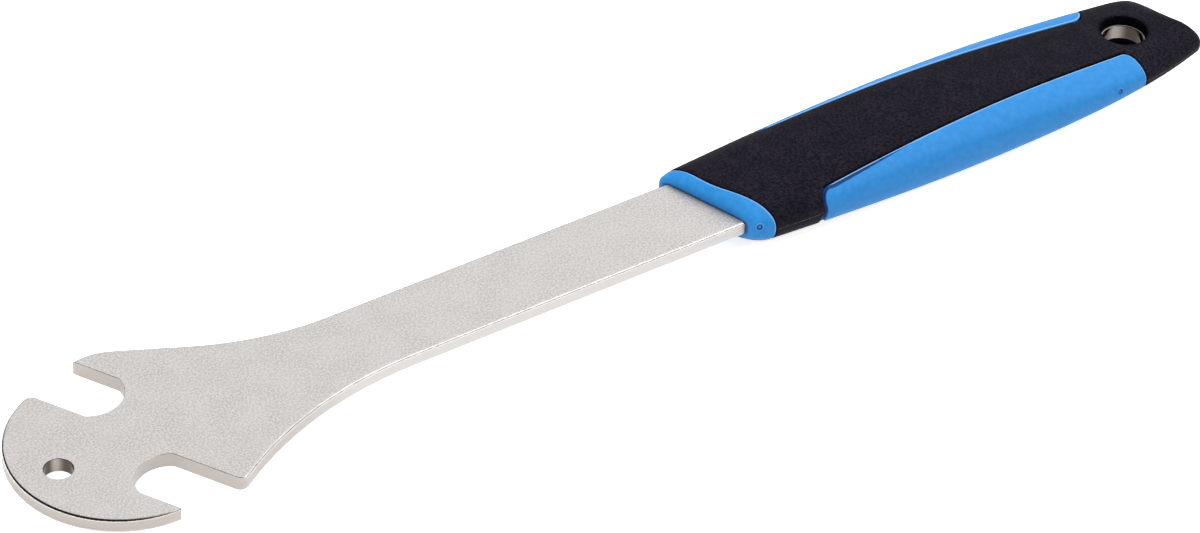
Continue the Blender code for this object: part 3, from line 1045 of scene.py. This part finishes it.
def raised(tree, shader, heights):
    # bumps one after another, each given as a height and its depth in metres
    last = None
    for height, depth in heights:
        bump = addNode(tree, "Bump")
        bump.inputs["Distance"].default_value = depth
        tree.links.new(height, bump.inputs["Height"])
        if last:
            tree.links.new(last, bump.inputs["Normal"])
        last = bump.outputs["Normal"]
    tree.links.new(last, shader.inputs["Normal"])


def insideOf(tree, x, y, radius, blur):
    # 1 within a radius of an upright axis, 0 outside it
    place = addNode(tree, "TexCoord")
    flat = addNode(tree, "VectorMath", operation="MULTIPLY")
    flat.inputs[1].default_value = (1, 1, 0)
    away = addNode(tree, "VectorMath", operation="DISTANCE")
    away.inputs[1].default_value = (x, y, 0)
    tree.links.new(place.outputs["Object"], flat.inputs[0])
    tree.links.new(flat.outputs["Vector"], away.inputs[0])
    return drawnOut(tree, away.outputs["Value"], 1, 0, radius, radius + blur)


satin = {
    "plate": (0.638, 0.612, 0.596),
    "speck": (0.42, 0.396, 0.381),  # fine darker specks in the plating
    "side": (0.58, 0.56, 0.545),  # the stamped sides
    "shadedHeadSide": (0.45, 0.41, 0.385),  # warmer, and darker with painted shade round the head, where its sides reflect the floor's shadow
    "headReach": 34 * mm,
    "headFade": 30 * mm,
    # the drilled walls, darker than the plate: partly their own colour and partly painted shade
    "drilled": (0.33, 0.295, 0.265),
    "wallShade": (0.09, 0.07, 0.06),  # painted shade across the drilled walls, darkest away from where they are palest
    "wallLitX": -0.33,  # the normal's x where a drilled wall is palest, its painted highlight
    "wallShadeRange": (0.05, 0.5),
    "sideRange": (0.05, 0.4),  # how upright the normal is on the sides, from full to none
    "edgeRange": (0.02, 0.2),  # rolled edges stand between the sides and the faces
    "faceRange": (0.93, 0.995),
    "drilledReach": 0.03 * mm,
    "drilledBlur": 0.04 * mm,
    "metallic": 0.5,
    "roughness": 0.42,
    "roughRange": (0.39, 0.46),  # over the specks
    "edgeRoughness": 0.12,  # rolled edges are rubbed bright
    "leastSpecks": 0.7,
    "cloudSize": 9 * mm,
    "speckSize": 0.48 * mm,
    "grainSize": 0.5 * mm,
    "grainDepth": 0.024 * mm,
    "fineSize": 0.25 * mm,
    "fineDepth": 0.008 * mm,
}


def makeSatin():
    finish, tree, shader = newFinish("satin nickel", satin["plate"], satin["metallic"], satin["roughness"])
    way = addNode(tree, "TexCoord")
    split = addNode(tree, "SeparateXYZ")
    tree.links.new(way.outputs["Normal"], split.inputs[0])
    upright = calculated(tree, "ABSOLUTE", split.outputs["Z"], 0.0)
    isSide = drawnOut(tree, upright, 1, 0, *satin["sideRange"])
    isEdge = calculated(tree, "MULTIPLY", drawnOut(tree, upright, 0, 1, *satin["edgeRange"]),
                        drawnOut(tree, upright, 1, 0, *satin["faceRange"]))
    clouds = drawnOut(tree, grain(tree, satin["cloudSize"], detail=4), satin["leastSpecks"], 1)
    specks = drawnOut(tree, grain(tree, satin["speckSize"], detail=2), 0, 1)
    colour = mixed(tree, calculated(tree, "MULTIPLY", clouds, specks), satin["plate"], satin["speck"])
    # painted shade: the sides round the head are made darker
    headShade = insideOf(tree, 0.0, 0.0, satin["headReach"], satin["headFade"])
    colour = mixed(tree, isSide, colour, mixed(tree, headShade, satin["side"], satin["shadedHeadSide"]))
    # painted highlight and shade on the drilled walls: palest where they face one way, painted shade to
    # either side
    off = calculated(tree, "SUBTRACT", split.outputs["X"], satin["wallLitX"])
    off = calculated(tree, "ABSOLUTE", off, 0.0)
    wall = mixed(tree, drawnOut(tree, off, 0, 1, *satin["wallShadeRange"]), satin["drilled"], satin["wallShade"])
    rough = drawnOut(tree, specks, *satin["roughRange"], 0, 1)
    holes = ((*blade["holeCentre"], blade["holeRadius"]), (blade["boreX"], 0.0, blade["boreRadius"]))
    for x, y, radius in holes:
        drilled = insideOf(tree, x, y, radius + satin["drilledReach"], satin["drilledBlur"])
        colour = mixed(tree, drilled, colour, wall)
        isEdge = calculated(tree, "MAXIMUM", isEdge, drilled)
    tree.links.new(colour, shader.inputs["Base Color"])
    polish = calculated(tree, "MULTIPLY", isEdge, satin["edgeRoughness"] - satin["roughness"])
    tree.links.new(calculated(tree, "ADD", rough, polish), shader.inputs["Roughness"])
    plating = calculated(tree, "MULTIPLY", isEdge, 1 - satin["metallic"])
    tree.links.new(calculated(tree, "ADD", plating, satin["metallic"]), shader.inputs["Metallic"])
    raised(tree, shader, ((grain(tree, satin["grainSize"], detail=2), satin["grainDepth"]),
                          (grain(tree, satin["fineSize"], detail=1), satin["fineDepth"])))
    return finish


hardBlue = {
    "colour": (0.034, 0.290, 0.725),
    "deep": (0.024, 0.240, 0.640),  # its darker mottles
    # a painted highlight, on moulded edges and marks
    "paleTone": (0.290, 0.530, 0.870),
    "shade": (0.004, 0.014, 0.110),  # painted shade in the seams, grooves and mark cups
    "roughness": 0.48,
    "roughRange": (0.45, 0.53),
    "mostDeep": 0.7,
    "specular": 0.2,
    "cloudSize": 1.5 * mm,
    "peelSize": 0.6 * mm,
    "peelDepth": 0.022 * mm,
    "fineSize": 0.2 * mm,
    "fineDepth": 0.003 * mm,
}


def makeBlue():
    finish, tree, shader = newFinish("blue plastic", hardBlue["colour"], 0.0, hardBlue["roughness"])
    shader.inputs["Specular IOR Level"].default_value = hardBlue["specular"]
    clouds = drawnOut(tree, grain(tree, hardBlue["cloudSize"], detail=3), 0, hardBlue["mostDeep"])
    paleTone, shaded = toned(tree)
    plain = mixed(tree, clouds, hardBlue["colour"], hardBlue["deep"])
    # painted highlight where the tone is above 0, and painted shade where it is below
    colour = mixed(tree, paleTone, plain, hardBlue["paleTone"])
    tree.links.new(mixed(tree, shaded, colour, hardBlue["shade"]), shader.inputs["Base Color"])
    peel = grain(tree, hardBlue["peelSize"], detail=2)
    tree.links.new(drawnOut(tree, peel, *hardBlue["roughRange"]), shader.inputs["Roughness"])
    raised(tree, shader, ((peel, hardBlue["peelDepth"]),
                          (grain(tree, hardBlue["fineSize"], detail=1), hardBlue["fineDepth"])))
    return finish


softBlack = {
    "colour": (0.0018, 0.0014, 0.0040),
    "pale": (0.0230, 0.0195, 0.0320),
    "parting": (0.300, 0.270, 0.260),
    # painted shade in the hanging hole
    "shade": (0.0, 0.0, 0.0),
    "leastPale": 0.65,
    "leastParting": 0.3,
    "roughness": 0.62,
    "roughRange": (0.57, 0.72),
    "specular": 0.07,
    "cloudSize": 6 * mm,
    "textureSize": 0.6 * mm,
    "textureDepth": 0.07 * mm,
    "fineSize": 0.18 * mm,
    "fineDepth": 0.012 * mm,
}


def makeBlack():
    finish, tree, shader = newFinish("black rubber", softBlack["colour"], 0.0, softBlack["roughness"])
    shader.inputs["Specular IOR Level"].default_value = softBlack["specular"]
    texture = grain(tree, softBlack["textureSize"], detail=3)
    clouds = drawnOut(tree, grain(tree, softBlack["cloudSize"], detail=4), softBlack["leastPale"], 1)
    pale = calculated(tree, "MULTIPLY", drawnOut(tree, texture, 0, 1), clouds)
    colour = mixed(tree, pale, softBlack["colour"], softBlack["pale"])
    paleTone, shaded = toned(tree)
    parting = calculated(tree, "MULTIPLY", paleTone, drawnOut(tree, texture, softBlack["leastParting"], 1))
    colour = mixed(tree, parting, colour, softBlack["parting"])
    # painted shade in the hanging hole, which also loses its shine
    tree.links.new(mixed(tree, shaded, colour, softBlack["shade"]), shader.inputs["Base Color"])
    shine = calculated(tree, "MULTIPLY", shaded, -softBlack["specular"])
    tree.links.new(calculated(tree, "ADD", shine, softBlack["specular"]), shader.inputs["Specular IOR Level"])
    tree.links.new(drawnOut(tree, texture, *softBlack["roughRange"]), shader.inputs["Roughness"])
    raised(tree, shader, ((texture, softBlack["textureDepth"]),
                          (grain(tree, softBlack["fineSize"], detail=1), softBlack["fineDepth"])))
    return finish


steelFinish, blueFinish, blackFinish = makeSatin(), makeBlue(), makeBlack()
print("finishes", steelFinish.name, blueFinish.name, blackFinish.name)

for piece, finish, slotName, node in (
        (steelBlade, steelFinish, "nickel_steel", "steel_blade"),
        (handleCore, blueFinish, "blue_plastic", "handle_core"),
        (panels[0], blueFinish, "blue_plastic", "handle_core"),
        (panels[1], blueFinish, "blue_plastic", "handle_core"),
        (softGrip, blackFinish, "black_grip", "soft_grip")):
    piece.data.materials.clear()
    piece.data.materials.append(finish)
    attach(piece, "root")
    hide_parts(node)


# Camera: a long lens that looks down on the wrench from the near side
view = {
    "yaw": math.radians(36.04),
    "elevation": math.radians(39.02),
    "roll": math.radians(2.99),
    "distance": 1248.1 * mm,
    "headY": -2.397 * mm,  # the aimed point beside the origin
    "headPixel": (119.67, 441.87),  # where that point stands in the frame of 1200 x 533
    "frame": (1200, 533),
    "focalPixels": 5500,
    "sensor": 36,
    "clipStart": 0.05,
}


def addCamera():
    rise, roll, up = view["elevation"], view["roll"], Vector((0, 0, 1))
    right, away = Matrix.Rotation(view["yaw"], 3, "Z")[:2]
    forward = away * math.cos(rise) - up * math.sin(rise)
    down = -away * math.sin(rise) - up * math.cos(rise)
    right, down = (right * math.cos(roll) - down * math.sin(roll),
                   right * math.sin(roll) + down * math.cos(roll))
    wide, tall = view["frame"]
    offX = (view["headPixel"][0] - wide / 2) / view["focalPixels"] * view["distance"]
    offY = (view["headPixel"][1] - tall / 2) / view["focalPixels"] * view["distance"]
    place = Vector((0, view["headY"], 0)) - right * offX - down * offY - forward * view["distance"]
    lens = bpy.data.cameras.new("camera")
    lens.sensor_width = view["sensor"]
    lens.lens = view["focalPixels"] / wide * view["sensor"]
    lens.clip_start = view["clipStart"]
    camera = bpy.data.objects.new("camera", lens)
    bpy.context.collection.objects.link(camera)
    turned = Matrix((right, -down, -forward)).transposed().to_4x4()
    camera.matrix_world = Matrix.Translation(place) @ turned
    bpy.context.scene.camera = camera


addCamera()


# Floor and light
room = {
    "floorSize": 6.0,
    "floorTilt": math.radians(1.62),  # the wrench lies on its handle and on the head's edge
    "floorAt": (226 * mm, -11.05 * mm),
    "floorColour": (0.9, 0.9, 0.9),
    "floorRoughness": 0.8,
    "floorGlow": 0.8,
    "rightRamp": (-0.15, 0.55),  # the room grows pale from left to right
    "upRamp": (0.12, 0.5),  # and from the skyline upwards
    "nearRamp": (-0.9, -0.2),  # it is dimmer behind the camera
    "nearShare": 0.35,
    "dark": 0.03,
    "bright": 1.6,
    "aim": (0.15, 0.0, 0.0),  # what the lamps point at
    "key": (0.84, -0.94, 0.94),
    "keySize": (0.8, 0.5),
    "keyPower": 4,
    "fill": (0.3, 0.2, 1.6),
    "fillSize": (1.4, 1.4),
    "fillPower": 10,
    "wash": (-0.9, 0.0, 0.85),
    "washSize": (1.0, 1.0),
    "washPower": 11,
}


def addFloor():
    deselect()
    x, z = room["floorAt"]
    bpy.ops.mesh.primitive_plane_add(size=room["floorSize"], location=(x, 0, z),
                                     rotation=(0, room["floorTilt"], 0))
    floor = named("floor")
    finish, tree, shader = newFinish("pale floor", room["floorColour"], 0.0, room["floorRoughness"])
    floor.data.materials.append(finish)
    path = addNode(tree, "LightPath")
    seen = calculated(tree, "MAXIMUM", path.outputs["Is Camera Ray"], path.outputs["Is Glossy Ray"])
    seen = calculated(tree, "MAXIMUM", seen, path.outputs["Is Transmission Ray"])
    glow = calculated(tree, "MULTIPLY", seen, room["floorGlow"])
    shader.inputs["Emission Color"].default_value = (1, 1, 1, 1)
    tree.links.new(glow, shader.inputs["Emission Strength"])


def addLight(name, mirrored):
    lamp = bpy.data.lights.new(name, "AREA")
    lamp.shape = "RECTANGLE"
    lamp.size, lamp.size_y = room[name + "Size"]
    lamp.energy = room[name + "Power"]
    item = bpy.data.objects.new(name, lamp)
    bpy.context.collection.objects.link(item)
    item.location = room[name]
    item.rotation_euler = (Vector(room["aim"]) - Vector(room[name])).to_track_quat("-Z", "Y").to_euler()
    item.visible_glossy = mirrored


addFloor()
addLight("key", True)
addLight("fill", False)
addLight("wash", False)


def addWorld():
    # an even studio that is pale to the wrench's right, where its top and near edges look, dark to its
    # left, and dimmer behind the camera
    world = bpy.data.worlds.new("room")
    bpy.context.scene.world = world
    world.use_nodes = True
    tree = world.node_tree
    way = addNode(tree, "TexCoord")
    split = addNode(tree, "SeparateXYZ")
    tree.links.new(way.outputs["Generated"], split.inputs[0])
    share = calculated(tree, "MULTIPLY", drawnOut(tree, split.outputs["X"], 0, 1, *room["rightRamp"]),
                       drawnOut(tree, split.outputs["Z"], 0, 1, *room["upRamp"]))
    share = calculated(tree, "MULTIPLY", share,
                       drawnOut(tree, split.outputs["Y"], room["nearShare"], 1, *room["nearRamp"]))
    extra = calculated(tree, "MULTIPLY", share, room["bright"] - room["dark"])
    tree.links.new(calculated(tree, "ADD", extra, room["dark"]), tree.nodes["Background"].inputs["Strength"])
    tree.nodes["Background"].inputs["Color"].default_value = (1, 1, 1, 1)


addWorld()
bpy.context.scene.view_settings.view_transform = "Standard"
